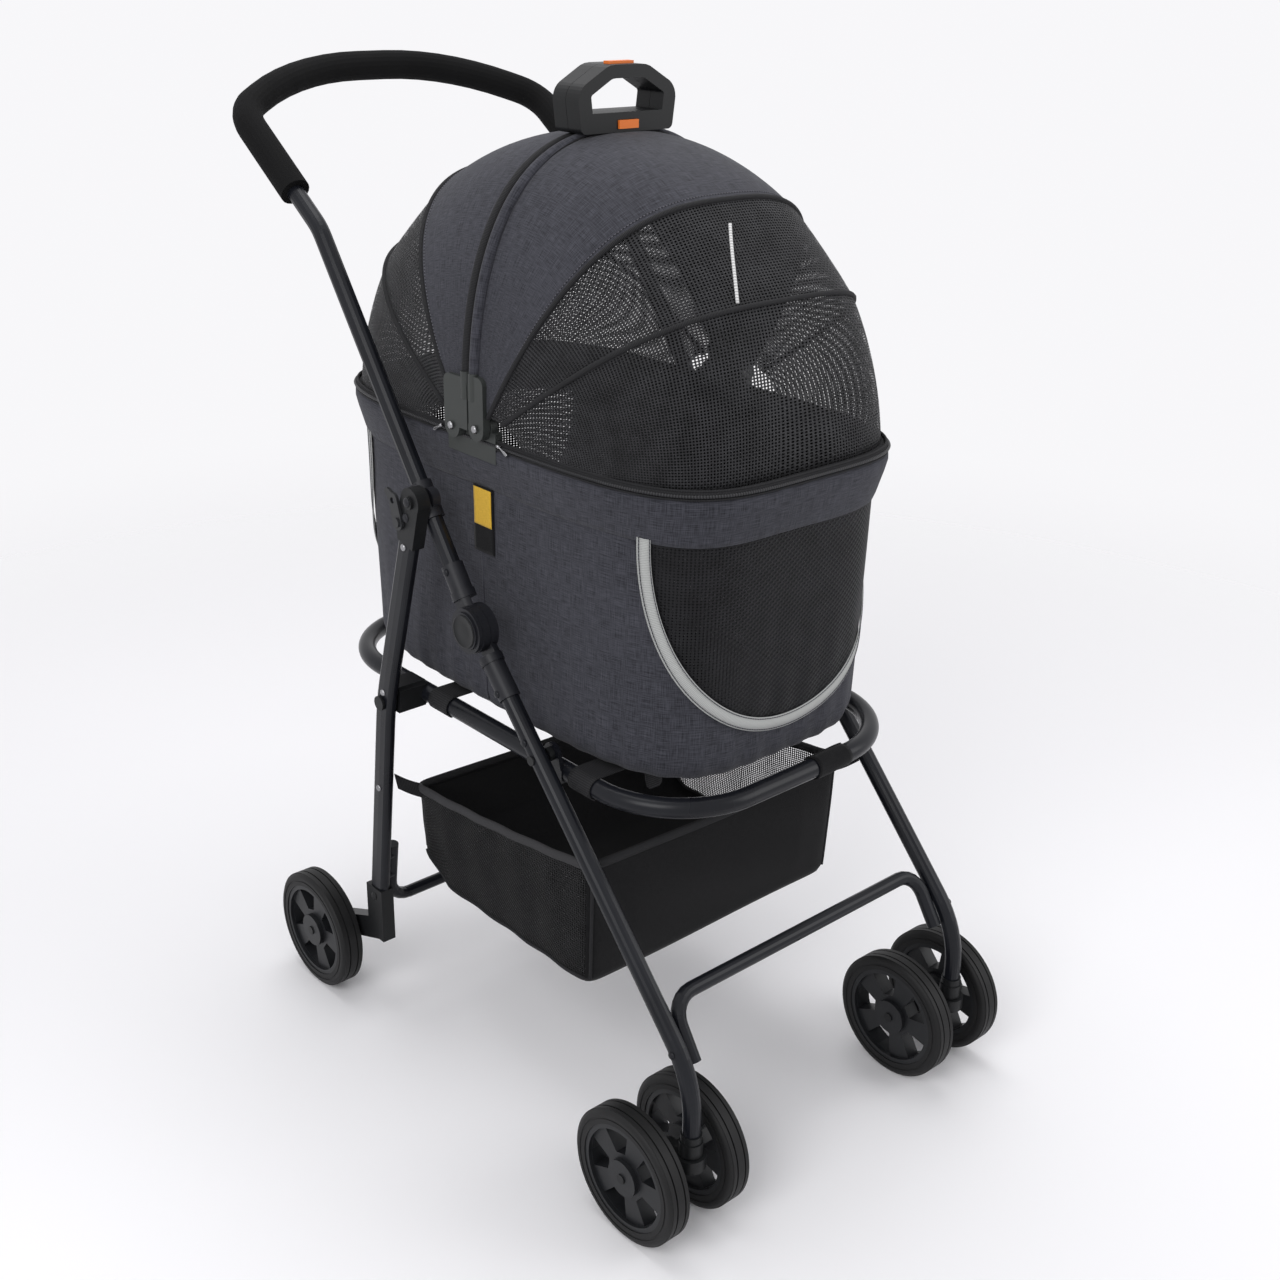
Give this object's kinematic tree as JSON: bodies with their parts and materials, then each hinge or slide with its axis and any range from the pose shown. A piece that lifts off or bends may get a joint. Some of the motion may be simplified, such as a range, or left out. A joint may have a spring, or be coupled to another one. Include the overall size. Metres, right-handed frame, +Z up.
{
  "type": "pet stroller",
  "caption": "Folding pet stroller: slim tube frame on swivel front casters and rear wheels, lift-off soft carrier with domed split canopy, foam push grip and basket.",
  "frame": {"origin": "on the ground, at the middle of the stroller's overall length and width", "axes": "+Z up, -Y forward (the direction of travel), +X towards the stroller's left side"},
  "size_m": [0.5036, 0.8124, 1.0448],
  "materials": {
    "frame_black": "satin",
    "knuckle": "satin",
    "plastic_black": "fine matt",
    "foam": "matt foam",
    "tyre": "matt",
    "fabric_charcoal": "woven melange",
    "fabric_black": "plain weave",
    "board": "matt",
    "pad": "quilted",
    "plate_grey": "satin",
    "latch_grey": "satin",
    "tab_yellow": "woven",
    "button_orange": "satin",
    "wire": "satin"
  },
  "bodies": {
    "seat_frame": {"seat_hoop": "frame_black", "support_straps": "fabric_black", "hoop_hangers": "frame_black", "rear_pivots": "plastic_black", "hoop_wrap": "fabric_black", "basket": "fabric_black"},
    "front_frame": {"front_leg_left": "frame_black", "front_leg_right": "frame_black", "front_crossbar": "frame_black", "lower_sleeve_left": "knuckle", "lower_sleeve_right": "knuckle", "caster_sockets": "plastic_black", "leg_knobs": "plastic_black"},
    "push_handle": {"handle_tube": "frame_black", "foam_grip": "foam", "upper_sleeve_left": "knuckle", "upper_sleeve_right": "knuckle", "hub_caps": "knuckle", "latch_bracket_left": "knuckle", "latch_bracket_right": "knuckle"},
    "rear_legs": {"rear_leg_left": "frame_black", "rear_leg_right": "frame_black", "leg_cap_left": "plastic_black", "leg_cap_right": "plastic_black", "rear_foot_left": "plastic_black", "rear_foot_right": "plastic_black", "rear_crossbar": "frame_black"},
    "fold_latch_left": {"fold_latch_left": "latch_grey"},
    "fold_latch_right": {"fold_latch_right": "latch_grey"},
    "brake_bar": {"brake_bar": "wire"},
    "rear_wheel_left": {"rear_tyre_left": "tyre", "rear_rim_left": "plastic_black"},
    "rear_wheel_right": {"rear_tyre_right": "tyre", "rear_rim_right": "plastic_black"},
    "caster_left": {"caster_fork_left": "plastic_black"},
    "caster_right": {"caster_fork_right": "plastic_black"},
    "front_wheel_1": {"front_tyre_1": "tyre", "front_rim_1": "plastic_black"},
    "front_wheel_2": {"front_tyre_2": "tyre", "front_rim_2": "plastic_black"},
    "front_wheel_3": {"front_tyre_3": "tyre", "front_rim_3": "plastic_black"},
    "front_wheel_4": {"front_tyre_4": "tyre", "front_rim_4": "plastic_black"},
    "carrier": {"carrier_tub": "fabric_charcoal", "rim_frame": "fabric_charcoal", "base_board": "board", "floor_pad": "pad", "hinge_bases": "plate_grey", "label_tab": "tab_yellow"},
    "front_canopy": {"front_bow": "plastic_black", "front_hinge_plates": "plate_grey", "front_cover": "fabric_charcoal", "carry_handle_front": "plastic_black", "carry_button": "button_orange", "carry_catch": "button_orange"},
    "rear_canopy": {"rear_bow": "plastic_black", "rear_hinge_plates": "plate_grey", "rear_cover": "fabric_charcoal", "carry_handle_rear": "plastic_black"}
  },
  "joints": [
    {"name": "front_leg_fold", "type": "hinge", "parent": "seat_frame", "child": "front_frame", "pos_m": [0, -0.14825, 0.42588], "axis": [1, 0, 0], "range_deg": [0, 90], "deforming": ["basket"]},
    {"name": "handle_fold", "type": "hinge", "parent": "front_frame", "child": "push_handle", "pos_m": [0, -0.05225, 0.53], "axis": [1, 0, 0], "range_deg": [-139.5, 0]},
    {"name": "rear_leg_fold", "type": "hinge", "parent": "seat_frame", "child": "rear_legs", "pos_m": [0, 0.08975, 0.404], "axis": [1, 0, 0], "range_deg": [0, 40.5]},
    {"name": "carrier_lift", "type": "slide", "parent": "seat_frame", "child": "carrier", "axis": [0, 0, 1], "range_m": [0, 0.3]},
    {"name": "front_canopy_open", "type": "hinge", "parent": "carrier", "child": "front_canopy", "pos_m": [0, -0.03725, 0.7233], "axis": [1, 0, 0], "range_deg": [0, 75], "deforming": ["front_cover"]},
    {"name": "rear_canopy_open", "type": "hinge", "parent": "carrier", "child": "rear_canopy", "pos_m": [0, 0.00075, 0.7193], "axis": [-1, 0, 0], "range_deg": [0, 75], "deforming": ["rear_cover"]},
    {"name": "caster_swivel_left", "type": "hinge", "parent": "front_frame", "child": "caster_left", "pos_m": [0.194, -0.37525, 0.1], "axis": [0, 0, 1], "continuous": true},
    {"name": "caster_swivel_right", "type": "hinge", "parent": "front_frame", "child": "caster_right", "pos_m": [-0.194, -0.37525, 0.1], "axis": [0, 0, 1], "continuous": true},
    {"name": "rear_wheel_spin_left", "type": "hinge", "parent": "rear_legs", "child": "rear_wheel_left", "pos_m": [0.2358, 0.21575, 0.07], "axis": [1, 0, 0], "continuous": true},
    {"name": "rear_wheel_spin_right", "type": "hinge", "parent": "rear_legs", "child": "rear_wheel_right", "pos_m": [-0.2358, 0.21575, 0.07], "axis": [1, 0, 0], "continuous": true},
    {"name": "fold_latch_turn_left", "type": "hinge", "parent": "rear_legs", "child": "fold_latch_left", "pos_m": [0.22, 0.03775, 0.62], "axis": [1, 0, 0], "range_deg": [-35, 0]},
    {"name": "fold_latch_turn_right", "type": "hinge", "parent": "rear_legs", "child": "fold_latch_right", "pos_m": [-0.22, 0.03775, 0.62], "axis": [1, 0, 0], "range_deg": [-35, 0]},
    {"name": "brake_press", "type": "hinge", "parent": "rear_legs", "child": "brake_bar", "pos_m": [0, 0.13375, 0.128], "axis": [1, 0, 0], "range_deg": [-30, 0]},
    {"name": "front_wheel_spin_1", "type": "hinge", "parent": "caster_left", "child": "front_wheel_1", "pos_m": [0.233, -0.33625, 0.07], "axis": [1, 0, 0], "continuous": true},
    {"name": "front_wheel_spin_2", "type": "hinge", "parent": "caster_left", "child": "front_wheel_2", "pos_m": [0.155, -0.33625, 0.07], "axis": [1, 0, 0], "continuous": true},
    {"name": "front_wheel_spin_3", "type": "hinge", "parent": "caster_right", "child": "front_wheel_3", "pos_m": [-0.233, -0.33625, 0.07], "axis": [1, 0, 0], "continuous": true},
    {"name": "front_wheel_spin_4", "type": "hinge", "parent": "caster_right", "child": "front_wheel_4", "pos_m": [-0.155, -0.33625, 0.07], "axis": [1, 0, 0], "continuous": true}
  ],
  "couplings": [
    {"joint": "handle_fold", "follows": "front_leg_fold", "ratio": -1.548},
    {"joint": "rear_leg_fold", "follows": "front_leg_fold", "ratio": 0.448}
  ]
}
